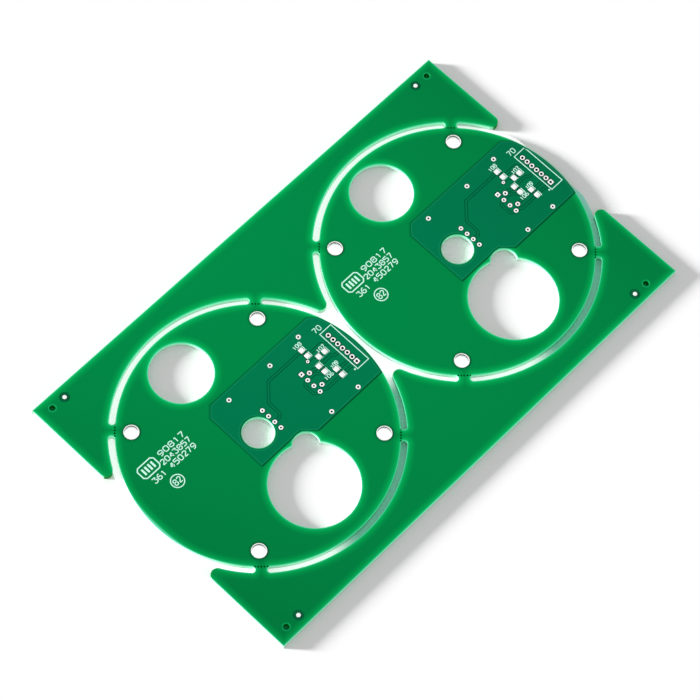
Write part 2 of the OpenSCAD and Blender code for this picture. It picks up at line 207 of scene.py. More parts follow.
def buildEdgeField():
    # how far a point is from each kind of cut edge, and how deep it is inside the pour
    tree, start, end = newTree(
        "edgeField", "ShaderNodeTree", [],
        [("Edge distance", "NodeSocketFloat"), ("Pour depth", "NodeSocketFloat"),
         ("Ring distance", "NodeSocketFloat"), ("Tooling distance", "NodeSocketFloat"),
         ("Slot distance", "NodeSocketFloat"), ("Shaded side", "NodeSocketFloat")])
    x, y = objectPlace(tree)[:2]
    side = (x > 0) * 2 - 1
    boardX = x - side * (boardGap / 2)
    fromMiddle = across(boardX, y)
    slotHalf = outline["slotWidth"] / 2
    slotMiddle = boardRadius + slotHalf
    tabTurn = abs(abs(y).angleTo(abs(boardX)) - math.radians(outline["tabAngle"])) * slotMiddle
    pastTab = ((outline["tabWidth"] + outline["slotWidth"]) / 2 - tabTurn).most(0)
    slot = across(fromMiddle - slotMiddle, pastTab) - slotHalf

    def hole(at, diameter):
        return across(boardX - at[0], y - at[1]) - diameter / 2

    centre = hole((0, 0), outline["centreDiameter"])
    keyhole = hole(outline["keyAt"], outline["keyDiameter"]).least(
        hole(outline["lobeAt"], outline["lobeDiameter"]))
    port = hole(outline["portAt"], outline["portDiameter"])
    rim = (panelLength / 2 - abs(x)).least(outline["panelWidth"] / 2 - abs(y))
    edge = slot
    for other in (centre, keyhole, port, rim):
        edge = edge.run("SMOOTH_MIN", edge, other, outline["edgeBlend"])

    mounting = across(abs(boardX) - outline["mountPitch"] / 2, abs(y) - outline["mountPitch"] / 2)
    odd = (x > 0) * (y < 0) * outline["dotStep"]
    markX = panelLength / 2 - outline["toolingInset"]
    markY = outline["panelWidth"] / 2 - outline["markEdge"]
    tooling = across(abs(x) + odd - markX, abs(y) - markY)

    lowX, lowY = outline["pourLow"]
    stepX, foot, slopeX = outline["pourStepX"], outline["pourFoot"], outline["pourSlopeX"]
    top, cut, half = outline["pourTop"], outline["pourCut"], math.sqrt(0.5)
    floorLine = (y - lowY).most(((boardX - stepX) + (y - lowY)) * half).least(y - foot)
    pour = (boardX - lowX).least(top - y).least(boardRadius - outline["pourEdge"] - fromMiddle)
    pour = pour.least(((boardX - lowX) - (y - top) - cut) * half)
    pour = pour.least(((slopeX - boardX) + (top - y)) * half).least(floorLine)
    pour = pour.least(keyhole - outline["pourEdge"]).least(centre - outline["pourEdge"])

    light = math.radians(outline["lightTurn"])
    toward = (boardX * math.cos(light) + y * math.sin(light)) / fromMiddle
    shaded = toward.ramp(*outline["shadeTurn"], 1, 0) * slot.ramp(*outline["shadeReach"], 1, 0)
    ring, pin = mounting - outline["mountDiameter"] / 2, tooling - outline["toolingDiameter"] / 2
    for socket, value in zip(end.inputs, (edge, pour, ring, pin, slot, shaded)):
        feed(tree, value, socket)
    return tree


weaveSizes = {"pitch": 0.46, "unevenness": 0.5, "cloudScale": 1500, "cloudDetail": 3}


def buildGlassWeave():
    # plain weave of the glass cloth under the mask: a faint change of tone and height
    tree, start, end = newTree(
        "glassWeave", "ShaderNodeTree",
        [("Pitch", "NodeSocketFloat", weaveSizes["pitch"]),
         ("Unevenness", "NodeSocketFloat", weaveSizes["unevenness"])],
        [("Tone", "NodeSocketFloat"), ("Height", "NodeSocketFloat")])
    x, y = objectPlace(tree)[:2]
    pitch = Wire(tree, start.outputs["Pitch"])
    warp = ((x / pitch) * math.pi).sine()
    weft = ((y / pitch) * math.pi).sine()
    height = warp * weft * 0.5 + 0.5
    cloud = put(tree, "ShaderNodeTexNoise")
    feed(tree, put(tree, "ShaderNodeTexCoord").outputs["Object"], cloud.inputs["Vector"])
    cloud.inputs["Scale"].default_value = weaveSizes["cloudScale"]
    cloud.inputs["Detail"].default_value = weaveSizes["cloudDetail"]
    mixed = height * (1 - Wire(tree, start.outputs["Unevenness"])) \
        + Wire(tree, cloud.outputs[0]) * start.outputs["Unevenness"]
    feed(tree, mixed, end.inputs[0])
    feed(tree, height, end.inputs[1])
    return tree


def buildCloud():
    # soft irregular change over the surface, such as stain, dullness or wear
    tree, start, end = newTree(
        "softCloud", "ShaderNodeTree",
        [("Size mm", "NodeSocketFloat", 5), ("Low", "NodeSocketFloat", 0.35),
         ("High", "NodeSocketFloat", 0.65)],
        [("Amount", "NodeSocketFloat")])
    scaled = put(tree, "ShaderNodeVectorMath", operation="SCALE")
    feed(tree, put(tree, "ShaderNodeTexCoord").outputs["Object"], scaled.inputs[0])
    feed(tree, (1 / mm) / Wire(tree, start.outputs["Size mm"]), scaled.inputs["Scale"])
    cloud = put(tree, "ShaderNodeTexNoise")
    feed(tree, scaled.outputs[0], cloud.inputs["Vector"])
    cloud.inputs["Scale"].default_value = 1
    cloud.inputs["Detail"].default_value = 4
    feed(tree, Wire(tree, cloud.outputs[0]).ramp(
        Wire(tree, start.outputs["Low"]), Wire(tree, start.outputs["High"])), end.inputs[0])
    return tree


edgeField, glassWeave, softCloud = buildEdgeField(), buildGlassWeave(), buildCloud()
print("shared effects ready")


def readField(tree, *labels):   # the named outputs of the edge field, as wires
    field = useGroup(tree, edgeField)
    return [Wire(tree, field.outputs[label]) for label in labels]


def cloudAt(tree, size, low=0.35, high=0.65):
    node = useGroup(tree, softCloud, **{"Size mm": size, "Low": low, "High": high})
    return Wire(tree, node.outputs[0])


# colours and reach of each material, lengths in millimetres
maskLook = {
    "green": tone(0, 133, 68), "overCopper": tone(0, 119, 76), "channel": tone(0, 70, 46),
    "raisedAbove": 1.59,
    "pourShade": tone(0, 88, 48), "borderReach": (-0.55, -0.05), "borderAmount": 0.75,
    "pourHighlight": tone(30, 150, 105), "lipPeak": 0.16, "lipReach": 0.4, "lipAmount": 0.35,
    "glow": [(0.0, tone(104, 228, 176)), (0.14, tone(40, 202, 134)), (0.32, tone(6, 178, 95)),
             (0.6, tone(2, 165, 83)), (1.0, tone(0, 153, 76)), (1.5, tone(0, 142, 71)),
             (2.1, tone(0, 134, 68))],
    "glowReach": 2.2, "glowFadesFrom": 0.6,
    "ringShade": tone(0, 92, 50), "ringReach": (0.05, 0.85), "ringAmount": 0.6,
    "toolingGlow": tone(20, 184, 110), "toolingReach": 0.4, "toolingAmount": 0.9,
    "lightFalloffSpan": (60, 36), "lightFalloffMiddle": 1.02, "lightFalloffEnds": 0.14, "lightFalloffFar": 0.05,
    "lightFalloffCorner": 0.04, "weaveAmount": 0.03, "weaveBump": 0.06, "weaveDepth": 0.02,
    "roughness": 0.34, "stain": 0.08, "stainSize": 9.0, "specular": 0.02,
}


def glowOver(tree, base, distance, look):
    # light that the laminate carries out beside a cut edge
    reach = look["glowReach"]
    stops = [(place / reach, colour) for place, colour in look["glow"]]
    glow = colourRamp(tree, distance / reach, stops)
    return blendColour(tree, distance.ramp(reach * look["glowFadesFrom"], reach, 1, 0), base, glow)


def maskGreen():
    look = maskLook
    material, tree, shader = newMaterial("solderMaskGreen")
    x, y, z = objectPlace(tree)
    edge, pour, ring, tooling = readField(
        tree, "Edge distance", "Pour depth", "Ring distance", "Tooling distance")
    weave = useGroup(tree, glassWeave)

    # outside the pour: plain green, with a painted glow at cut edges and a darker border of painted
    # shade round the pour
    outer = glowOver(tree, look["green"], edge, look)
    pourShade = pour.ramp(*look["borderReach"], 0, look["borderAmount"])
    outer = blendColour(tree, pourShade, outer, look["pourShade"])
    # over the pour: darker in the isolation channels, partly thicker mask and partly painted shade in
    # the recess, and a painted highlight just inside the pour's outline
    raised = z > look["raisedAbove"]
    inner = blendColour(tree, raised, look["channel"], look["overCopper"])
    lipHighlight = pour.ramp(0, look["lipPeak"], 0, 1) * pour.ramp(look["lipPeak"], look["lipReach"], 1, 0)
    inner = blendColour(tree, lipHighlight * look["lipAmount"], inner, look["pourHighlight"])
    colour = blendColour(tree, pour > 0, outer, inner)
    # painted shade: a darker halo round the mounting holes, where the plated barrel keeps the
    # laminate's light out
    ringShadeAmount = ring.ramp(*look["ringReach"], look["ringAmount"], 0)
    colour = blendColour(tree, ringShadeAmount, colour, look["ringShade"])
    toolingGlow = tooling.ramp(0, look["toolingReach"], look["toolingAmount"], 0)
    colour = blendColour(tree, toolingGlow, colour, look["toolingGlow"])

    # painted light: a slow change of brightness over the panel, darker towards its ends, and the weave
    # of the cloth under the mask
    u, v = x / look["lightFalloffSpan"][0], y / look["lightFalloffSpan"][1]
    lightFalloff = look["lightFalloffMiddle"] - u * u * look["lightFalloffEnds"] + v * look["lightFalloffFar"] \
        - u * v * look["lightFalloffCorner"]
    fine = lightFalloff * ((Wire(tree, weave.outputs["Tone"]) - 0.5) * look["weaveAmount"] + 1)
    shade = put(tree, "ShaderNodeVectorMath", operation="SCALE")
    feed(tree, colour, shade.inputs[0])
    feed(tree, fine, shade.inputs["Scale"])
    feed(tree, shade.outputs[0], shader.inputs["Base Color"])
    dull = cloudAt(tree, look["stainSize"]) * look["stain"]
    feed(tree, dull + look["roughness"], shader.inputs["Roughness"])
    shader.inputs["Specular IOR Level"].default_value = look["specular"]
    addBump(tree, shader, Wire(tree, weave.outputs["Height"]), look["weaveBump"], look["weaveDepth"])
    return material


wallLook = {
    "body": [(0.0, tone(200, 222, 208)), (0.45, tone(196, 232, 212)), (0.8, tone(150, 226, 186)),
             (1.0, tone(110, 214, 160))],
    "carried": [(0.0, tone(72, 76, 74)), (0.35, tone(74, 104, 90)), (0.65, tone(80, 180, 134)),
                (0.94, tone(50, 190, 128))],
    "carriedLight": 0.7, "shadedLoss": 0.34, "sunwardLoss": 0.6,
    "shadedBody": tone(86, 186, 144), "pierced": tone(16, 150, 62), "sunward": tone(110, 150, 126),
    "sunwardDepth": 0.4, "drilledReach": (0.15, 0.35), "drilledBeyond": 14,
    "toolingReach": (0.05, 0.3), "underside": tone(0, 118, 62), "bare": tone(2, 94, 56),
    "layers": 8, "layerTone": tone(120, 176, 140), "layerAmount": 0.12, "layerRelief": 3,
    "fibreSize": 0.35, "fibreTone": tone(160, 214, 180), "fibreAmount": 0.18,
    "roughness": 0.5, "fibreRoughness": 0.2, "specular": 0.04, "bump": 0.25, "bumpDepth": 0.03,
}


def glassLaminate():
    look = wallLook
    material, tree, shader = newMaterial("glassEpoxyLaminate")
    y, z = objectPlace(tree)[1:]
    normal = put(tree, "ShaderNodeSeparateXYZ")
    feed(tree, put(tree, "ShaderNodeNewGeometry").outputs["Normal"], normal.inputs[0])
    up = Wire(tree, normal.outputs[2])
    edge, tooling, shaded = readField(tree, "Edge distance", "Tooling distance", "Shaded side")
    rise = z / outline["thickness"]

    # the cut walls: pale where light comes through, with the cloth's layers and fibres
    wall = colourRamp(tree, rise, look["body"])
    layerTurn = z * (look["layers"] * 2 * math.pi / outline["core"])
    layers = (layerTurn.sine() * 0.5 + 0.5) * look["layerAmount"]
    wall = blendColour(tree, layers, wall, look["layerTone"])
    fibre = cloudAt(tree, look["fibreSize"])
    wall = blendColour(tree, fibre * look["fibreAmount"], wall, look["fibreTone"])
    # painted shade on the walls of the slots on the side away from the light
    wall = blendColour(tree, shaded, wall, look["shadedBody"])
    # drilled holes stand well inside the edges, so little light reaches their walls
    drilled = edge.ramp(*look["drilledReach"], 0, 1) * (abs(y) > look["drilledBeyond"])
    pierced = tooling.ramp(*look["toolingReach"], 1, 0).most(drilled)
    wall = blendColour(tree, pierced, wall, look["pierced"])
    # the long outer wall that faces the sun would burn out to the floor's white, so painted shade
    # darkens it and it glows less
    sunward = y > outline["panelWidth"] / 2 - look["sunwardDepth"]
    wall = blendColour(tree, sunward, wall, look["sunward"])

    below = glowOver(tree, look["underside"], edge, maskLook)
    flat = blendColour(tree, up > 0, below, look["bare"])
    feed(tree, blendColour(tree, abs(up) > 0.5, wall, flat), shader.inputs["Base Color"])
    # painted light: the cut walls glow by emission, greener towards the top, less on the shaded side
    # of the slots, in drilled holes and on the sunward wall
    feed(tree, colourRamp(tree, rise, look["carried"]), shader.inputs["Emission Color"])
    bounced = Wire(tree, put(tree, "ShaderNodeLightPath").outputs["Is Diffuse Ray"])
    carried = (abs(up) < 0.5) * (look["carriedLight"] - shaded * look["shadedLoss"])
    carried = carried * (1 - pierced) * (1 - bounced) * (1 - sunward * look["sunwardLoss"])
    feed(tree, carried, shader.inputs["Emission Strength"])
    feed(tree, fibre * look["fibreRoughness"] + look["roughness"], shader.inputs["Roughness"])
    shader.inputs["Specular IOR Level"].default_value = look["specular"]
    addBump(tree, shader, fibre + layers * look["layerRelief"], look["bump"], look["bumpDepth"])
    return material


tinLook = {
    "bright": tone(252, 253, 252), "dull": tone(226, 229, 226), "dullAmount": 0.35,
    "grainSize": 0.25, "wideWithin": 0.5,
    "barrelShade": tone(14, 8, 8), "barrelTop": (1.45, 1.565), "barrelFoot": (0.03, 0.12),
    "band": tone(58, 92, 76), "bandTop": (1.47, 1.56), "bandFoot": (0.6, 1.1), "bandAmount": 0.9,
    "roughness": 0.3, "grainRoughness": 0.12, "barrelRoughness": 0.5, "metallic": 0.5,
    "specular": 0.05, "bump": 0.2, "bumpDepth": 0.01,
}


def levelledTin():
    look = tinLook
    material, tree, shader = newMaterial("levelledTin")
    z = objectPlace(tree)[2]
    grain = cloudAt(tree, look["grainSize"])
    metal = blendColour(tree, grain * look["dullAmount"], look["bright"], look["dull"])
    # painted shade: small holes are dark inside, the wide mounting holes only have a dark band of
    # painted shade under the rim
    ring = readField(tree, "Ring distance")[0]
    small = ring > look["wideWithin"]
    deep = z.ramp(*look["barrelTop"], 1, 0) * z.ramp(*look["barrelFoot"], 0, 1) * small
    metal = blendColour(tree, deep, metal, look["barrelShade"])
    band = z.ramp(*look["bandFoot"], 0, 1) * z.ramp(*look["bandTop"], 1, 0) * (1 - small)
    metal = blendColour(tree, band * look["bandAmount"], metal, look["band"])
    feed(tree, metal, shader.inputs["Base Color"])
    rough = grain * look["grainRoughness"] + look["roughness"] + deep * look["barrelRoughness"]
    feed(tree, rough, shader.inputs["Roughness"])
    feed(tree, look["metallic"] * (1 - deep), shader.inputs["Metallic"])
    shader.inputs["Specular IOR Level"].default_value = look["specular"]
    addBump(tree, shader, grain, look["bump"], look["bumpDepth"])
    return material


copperLook = {
    "light": tone(70, 96, 76), "dark": tone(50, 78, 60), "blotchSize": 0.8,
    "roughness": 0.32, "blotchRoughness": 0.15, "metallic": 0.9,
}


def etchedCopper():
    look = copperLook
    material, tree, shader = newMaterial("etchedCopper")
    blotch = cloudAt(tree, look["blotchSize"])
    colour = blendColour(tree, blotch, look["light"], look["dark"])
    feed(tree, colour, shader.inputs["Base Color"])
    feed(tree, blotch * look["blotchRoughness"] + look["roughness"], shader.inputs["Roughness"])
    shader.inputs["Metallic"].default_value = look["metallic"]
    return material


inkLook = {
    "solid": tone(206, 255, 238), "thin": tone(150, 226, 200), "thinAmount": 0.35,
    "speckleSize": 0.22, "speckleRange": (0.5, 0.8),
    "roughness": 0.55, "speckleRoughness": 0.15, "specular": 0.25,
}


def printedInk():
    look = inkLook
    material, tree, shader = newMaterial("printedInk")
    speckle = cloudAt(tree, look["speckleSize"], *look["speckleRange"])
    colour = blendColour(tree, speckle * look["thinAmount"], look["solid"], look["thin"])
    feed(tree, colour, shader.inputs["Base Color"])
    feed(tree, speckle * look["speckleRoughness"] + look["roughness"], shader.inputs["Roughness"])
    shader.inputs["Specular IOR Level"].default_value = look["specular"]
    return material


mask, laminate, tin = maskGreen(), glassLaminate(), levelledTin()
copper, ink = etchedCopper(), printedInk()
for node, material in (("solder_mask", mask), ("laminate", laminate), ("pour_copper", copper),
                       ("track_copper", copper), ("legend_ink", ink), ("pad_tin", tin),
                       ("via_plating", tin), ("pin_hole_plating", tin),
                       ("mounting_hole_plating", tin), ("alignment_dots", tin)):
    dress(node, material)
print("materials ready")


def islandsOf(node):
    # middle, size, levels and hole of each separate piece of a node, in millimetres
    source = bmesh.new()
    source.from_mesh(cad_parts[node].data)
    bmesh.ops.remove_doubles(source, verts=source.verts, dist=weld)
    seen, found = set(), []
    for first in source.verts:
        if first.index in seen:
            continue
        stack, island = [first], []
        seen.add(first.index)
        while stack:
            vert = stack.pop()
            island.append(vert.co / mm)
            for edge in vert.link_edges:
                other = edge.other_vert(vert)
                if other.index not in seen:
                    seen.add(other.index)
                    stack.append(other)
        low = Vector([min(c[i] for c in island) for i in range(3)])
        high = Vector([max(c[i] for c in island) for i in range(3)])
        middle = (low + high) / 2
        nearest = min((c.xy - middle.xy).length for c in island)
        # a square's corner lies 0.7 of its width from the middle, a disc's rim only 0.5
        corner = max((c.xy - middle.xy).length for c in island)
        found.append({"middle": middle, "size": high - low, "low": low[2], "high": high[2],
                      "hole": 2 * nearest, "square": corner > 0.6 * (high - low)[0]})
    source.free()
    return found


def pointsObject(name, places, edges=()):
    mesh = bpy.data.meshes.new(name)
    mesh.from_pydata([[c * mm for c in place] for place in places], edges, [])
    obj = bpy.data.objects.new(name, mesh)
    scene.collection.objects.link(obj)
    return obj


def finishTree(tree, geometry, material, end):
    real, painted = put(tree, "GeometryNodeRealizeInstances"), put(tree, "GeometryNodeSetMaterial")
    feed(tree, geometry, real.inputs[0])
    feed(tree, real.outputs[0], painted.inputs["Geometry"])
    feed(tree, material, painted.inputs["Material"])
    feed(tree, painted.outputs[0], end.inputs[0])


def makeMesh(obj, tree, material, **values):
    # runs a node tree on obj and keeps only the plain mesh that it makes
    modifier = obj.modifiers.new(tree.name, "NODES")
    modifier.node_group = tree
    sockets = {item.name: item.identifier for item in tree.interface.items_tree
               if item.item_type == "SOCKET" and item.in_out == "INPUT"}
    for label, value in dict(values, Material=material).items():
        modifier[sockets[label]] = value
    bpy.context.view_layer.update()
    graph = bpy.context.evaluated_depsgraph_get()
    made = bpy.data.meshes.new_from_object(obj.evaluated_get(graph))
    obj.modifiers.remove(modifier)
    old = obj.data
    obj.data = made
    bpy.data.meshes.remove(old)
    return obj


def joined(name, objects, material):
    merged = bmesh.new()
    for obj in objects:
        merged.from_mesh(obj.data)
    mesh = bpy.data.meshes.new(name)
    merged.to_mesh(mesh)
    merged.free()
    mesh.materials.append(material)
    for obj in objects:
        bpy.data.objects.remove(obj)
    piece = bpy.data.objects.new(name, mesh)
    scene.collection.objects.link(piece)
    for face in mesh.polygons:
        face.use_smooth, face.material_index = True, 0
    return piece


padSizes = {   # roundness 0 is a square and 1 a disc; domePower is how flat the dome's top is
    "pad": {"depth": 0.012, "rise": 0.038, "roundness": 0.22},
    "dot": {"depth": 0.08, "rise": 0.025, "roundness": 1.0},
    "steps": 13, "domePower": 5,
}


def buildTinPad():
    tree, start, end = newTree(
        "tinPad", "GeometryNodeTree",
        [("Geometry", "NodeSocketGeometry", None), ("Width", "NodeSocketFloat", 1.25 * mm),
         ("Depth", "NodeSocketFloat", 0.03 * mm), ("Rise", "NodeSocketFloat", 0.02 * mm),
         ("Roundness", "NodeSocketFloat", 0.25), ("Steps", "NodeSocketInt", padSizes["steps"]),
         ("Material", "NodeSocketMaterial", None)],
        [("Geometry", "NodeSocketGeometry")])
    given = start.outputs
    block = put(tree, "GeometryNodeMeshCube")
    block.inputs["Size"].default_value = (2, 2, 1)
    feed(tree, given["Steps"], block.inputs["Vertices X"])
    feed(tree, given["Steps"], block.inputs["Vertices Y"])
    block.inputs["Vertices Z"].default_value = 2
    parts = put(tree, "ShaderNodeSeparateXYZ")
    feed(tree, put(tree, "GeometryNodeInputPosition").outputs[0], parts.inputs[0])
    u, v, w = [Wire(tree, socket) for socket in parts.outputs]
    halfWidth = Wire(tree, given["Width"]) / 2
    roundness = Wire(tree, given["Roundness"])
    sideways = u * (1 - v * v * 0.5 * roundness) ** 0.5 * halfWidth
    along = v * (1 - u * u * 0.5 * roundness) ** 0.5 * halfWidth
    power = padSizes["domePower"]
    dome = (1 - abs(u) ** power) * (1 - abs(v) ** power)
    height = (w > 0) * (Wire(tree, given["Depth"]) + dome * given["Rise"])
    place = put(tree, "ShaderNodeCombineXYZ")
    for slot, value in zip(place.inputs, (sideways, along, height)):
        feed(tree, value, slot)
    shaped = put(tree, "GeometryNodeSetPosition")
    feed(tree, block.outputs[0], shaped.inputs["Geometry"])
    feed(tree, place.outputs[0], shaped.inputs["Position"])
    spread = put(tree, "GeometryNodeInstanceOnPoints")
    feed(tree, given["Geometry"], spread.inputs["Points"])
    feed(tree, shaped.outputs[0], spread.inputs["Instance"])
    finishTree(tree, spread.outputs[0], given["Material"], end)
    return tree


tinPad = buildTinPad()


def tinnedSpots(node, name, sizes):
    islands = islandsOf(node)
    places = pointsObject(name + "ToPlace", [(*i["middle"].xy, i["low"]) for i in islands])
    made = makeMesh(places, tinPad, tin, Width=islands[0]["size"][0] * mm, Depth=sizes["depth"] * mm,
                    Rise=sizes["rise"] * mm, Roundness=sizes["roundness"], Steps=padSizes["steps"])
    print(name, len(islands))
    return joined(name, [made], tin)


pads = tinnedSpots("pad_tin", "tinnedPads", padSizes["pad"])
dots = tinnedSpots("alignment_dots", "alignmentDots", padSizes["dot"])


# a plated hole is one sheet: a domed ring on top, the lining, and a flush ring below
holeSizes = {
    "turns": 36, "wideLand": 2, "wideTurns": 72,   # faces round a hole, more where its land is wide
    "domeSteps": 7, "liningSteps": 2, "lowerSteps": 3,
    "rise": 0.028, "skirt": 0.008, "tin": 0.03, "domePower": 3,
    "roundPower": 2.0, "squarePower": 14.0,   # powers of the land's outline
}


def buildPlatedHole():
    tree, start, end = newTree(
        "platedHole", "GeometryNodeTree",
        [("Geometry", "NodeSocketGeometry", None), ("Hole", "NodeSocketFloat", 0.65 * mm),
         ("Land", "NodeSocketFloat", 1.2 * mm), ("Power", "NodeSocketFloat", 2.0),
         ("Top", "NodeSocketFloat", 1.57 * mm), ("Rise", "NodeSocketFloat", 0.03 * mm),
         ("Turns", "NodeSocketInt", holeSizes["turns"]), ("Material", "NodeSocketMaterial", None)],
        [("Geometry", "NodeSocketGeometry")])
    given = start.outputs
    domeEnd = holeSizes["domeSteps"]
    liningEnd = domeEnd + holeSizes["liningSteps"]
    allSteps = liningEnd + holeSizes["lowerSteps"]
    sheet = put(tree, "GeometryNodeMeshGrid")
    sheet.inputs["Size X"].default_value = 1
    sheet.inputs["Size Y"].default_value = 1
    feed(tree, Wire(tree, given["Turns"]) + 1, sheet.inputs["Vertices X"])
    sheet.inputs["Vertices Y"].default_value = allSteps + 1
    parts = put(tree, "ShaderNodeSeparateXYZ")
    feed(tree, put(tree, "GeometryNodeInputPosition").outputs[0], parts.inputs[0])
    turn = (Wire(tree, parts.outputs[0]) + 0.5) * (2 * math.pi)
    along = (Wire(tree, parts.outputs[1]) + 0.5) * allSteps
    east, north = turn.cosine(), turn.sine()
    power = Wire(tree, given["Power"])
    landHalf = Wire(tree, given["Land"]) / 2
    outer = landHalf / (abs(east) ** power + abs(north) ** power) ** (1 / power)
    inner = Wire(tree, given["Hole"]) / 2
    # the steps cross the domed ring from rim to hole, go down the lining, and cross the flush
    # ring below
    ringPart = along.ramp(0, domeEnd, 1, 0, "LINEAR")
    lowerPart = along.ramp(liningEnd, allSteps, 0, 1, "LINEAR")
    radius = inner + (outer - inner) * (ringPart + lowerPart)
    dome = (1 - abs(ringPart * 2 - 1) ** holeSizes["domePower"]) * given["Rise"]
    top = Wire(tree, given["Top"]) + dome * (along < domeEnd + 0.5)
    height = top * along.ramp(domeEnd, liningEnd, 1, 0, "LINEAR")
    place = put(tree, "ShaderNodeCombineXYZ")
    for slot, value in zip(place.inputs, (east * radius, north * radius, height)):
        feed(tree, value, slot)
    shaped = put(tree, "GeometryNodeSetPosition")
    feed(tree, sheet.outputs[0], shaped.inputs["Geometry"])
    feed(tree, place.outputs[0], shaped.inputs["Position"])
    closed = put(tree, "GeometryNodeMergeByDistance")
    feed(tree, shaped.outputs[0], closed.inputs["Geometry"])
    closed.inputs["Distance"].default_value = weld / 2
    spread = put(tree, "GeometryNodeInstanceOnPoints")
    feed(tree, given["Geometry"], spread.inputs["Points"])
    feed(tree, closed.outputs[0], spread.inputs["Instance"])
    finishTree(tree, spread.outputs[0], given["Material"], end)
    return tree


platedHole = buildPlatedHole()


def linedHoles(node, name):
    kinds = {}
    for island in islandsOf(node):
        key = (round(island["hole"], 3), round(island["size"][0], 3), island["square"])
        kinds.setdefault(key, []).append(island)
    made = []
    for (hole, land, square), islands in sorted(kinds.items()):
        top = islands[0]["high"] - holeSizes["tin"] + holeSizes["skirt"]
        places = pointsObject("holesToPlace", [(*i["middle"].xy, 0) for i in islands])
        made.append(makeMesh(
            places, platedHole, tin,
            Hole=hole * mm, Land=land * mm, Top=top * mm, Rise=holeSizes["rise"] * mm,
            Power=holeSizes["squarePower" if square else "roundPower"],
            Turns=holeSizes["wideTurns" if land > holeSizes["wideLand"] else "turns"]))
        print(name, "hole", hole, "land", land, "square", square, "times", len(islands))
    return joined(name, made, tin)


viaRings = linedHoles("via_plating", "viaRings")
pinRings = linedHoles("pin_hole_plating", "pinHoleRings")
mountRings = linedHoles("mounting_hole_plating", "mountingHoleRings")


strokes = {   # each digit on a grid two wide and three high
    "0": [[(0, .5), (0, 2.5), (.5, 3), (1.5, 3), (2, 2.5), (2, .5), (1.5, 0), (.5, 0), (0, .5)]],
    "1": [[(.4, 2.4), (1, 3), (1, 0)]],
    "2": [[(0, 2.5), (.5, 3), (1.5, 3), (2, 2.5), (2, 2), (0, 0), (2, 0)]],
    "3": [[(0, 3), (2, 3), (1, 1.8), (1.5, 1.8), (2, 1.3), (2, .5), (1.5, 0), (.5, 0), (0, .5)]],
    "4": [[(1.5, 0), (1.5, 3), (0, 1), (2, 1)]],
    "5": [[(2, 3), (0, 3), (0, 1.8), (1.5, 1.8), (2, 1.3), (2, .5), (1.5, 0), (0, 0)]],
    "6": [[(1.7, 3), (.9, 3), (0, 2), (0, .5), (.5, 0), (1.5, 0), (2, .5), (2, 1.2), (1.5, 1.7),
           (0, 1.7)]],
    "7": [[(0, 3), (2, 3), (.7, 0)]],
    "8": [[(.5, 1.6), (0, 2.1), (0, 2.5), (.5, 3), (1.5, 3), (2, 2.5), (2, 2.1), (1.5, 1.6), (.5, 1.6),
           (0, 1.1), (0, .5), (.5, 0), (1.5, 0), (2, .5), (2, 1.1), (1.5, 1.6)]],
    "9": [[(.3, 0), (1.1, 0), (2, 1), (2, 2.5), (1.5, 3), (.5, 3), (0, 2.5), (0, 1.8), (.5, 1.3),
           (2, 1.3)]],
    " ": [],
}
legend = {   # plain numbers, a ring and a barred badge, in millimetres from the board's middle
    "rows": [   # text, left, right, foot, head, whether it lies over the pour
        ("90817", -19.5, -12.0, 11.15, 12.4, False), ("2043857", -20.5, -11.9, 9.25, 10.5, False),
        ("361 450279", -24.9, -12.1, 7.3, 8.6, False),
        ("70", 26.6, 28.6, 7.95, 9.2, True), ("108", 20.3, 22.5, 8.4, 9.25, True),
        ("107", 23.7, 25.9, 4.2, 5.1, True), ("106", 20.1, 22.4, -1.9, -1.0, True),
        ("109", 23.2, 25.1, -0.75, 0.15, True)],
    "line": 0.24, "smallLine": 0.19, "corner": 0.09, "letterWidth": 0.7, "lastGap": 0.3,
    "ringAt": (-21.0, 4.4), "ringRadius": 1.58, "ringLine": 0.25, "ringSteps": 48,
    "ringText": ("82", -21.95, -20.05, 3.7, 5.1),
    "badge": (-25.9, 9.5, -20.9, 12.7), "badgeCut": 0.6, "badgeLine": 0.3,
    "bars": 4, "barStart": 1.1, "barStep": 0.93, "barInset": 0.75, "barLine": 0.48,
    "lowLevel": 1.53, "highLevel": 1.6, "thickness": 0.02,
}


def buildPrintedLine():
    tree, start, end = newTree(
        "printedLine", "GeometryNodeTree",
        [("Geometry", "NodeSocketGeometry", None), ("Line", "NodeSocketFloat", 0.2 * mm),
         ("Thickness", "NodeSocketFloat", 0.02 * mm), ("Corner", "NodeSocketFloat", 0.1 * mm),
         ("Material", "NodeSocketMaterial", None)],
        [("Geometry", "NodeSocketGeometry")])
    given = start.outputs
    path, upright = put(tree, "GeometryNodeMeshToCurve"), put(tree, "GeometryNodeSetCurveNormal")
    feed(tree, given["Geometry"], path.inputs[0])
    upright.mode = "Z_UP"
    fillet = put(tree, "GeometryNodeFilletCurve", mode="POLY")
    feed(tree, path.outputs[0], fillet.inputs["Curve"])
    feed(tree, given["Corner"], fillet.inputs["Radius"])
    fillet.inputs["Count"].default_value = 3
    feed(tree, fillet.outputs[0], upright.inputs["Curve"])
    band = put(tree, "GeometryNodeCurvePrimitiveQuadrilateral")
    feed(tree, given["Line"], band.inputs["Width"])
    feed(tree, given["Thickness"], band.inputs["Height"])
    sweep = put(tree, "GeometryNodeCurveToMesh")
    feed(tree, upright.outputs[0], sweep.inputs["Curve"])
    feed(tree, band.outputs[0], sweep.inputs["Profile Curve"])
    sweep.inputs["Fill Caps"].default_value = True
    finishTree(tree, sweep.outputs[0], given["Material"], end)
    return tree


printedLine = buildPrintedLine()


def textPaths(text, left, right, foot, head):
    step = (right - left) / (len(text) - legend["lastGap"])
    wide, tall = step * legend["letterWidth"] / 2, (head - foot) / 3
    return [[(left + i * step + x * wide, foot + y * tall) for x, y in path]
            for i, letter in enumerate(text) for path in strokes[letter]]


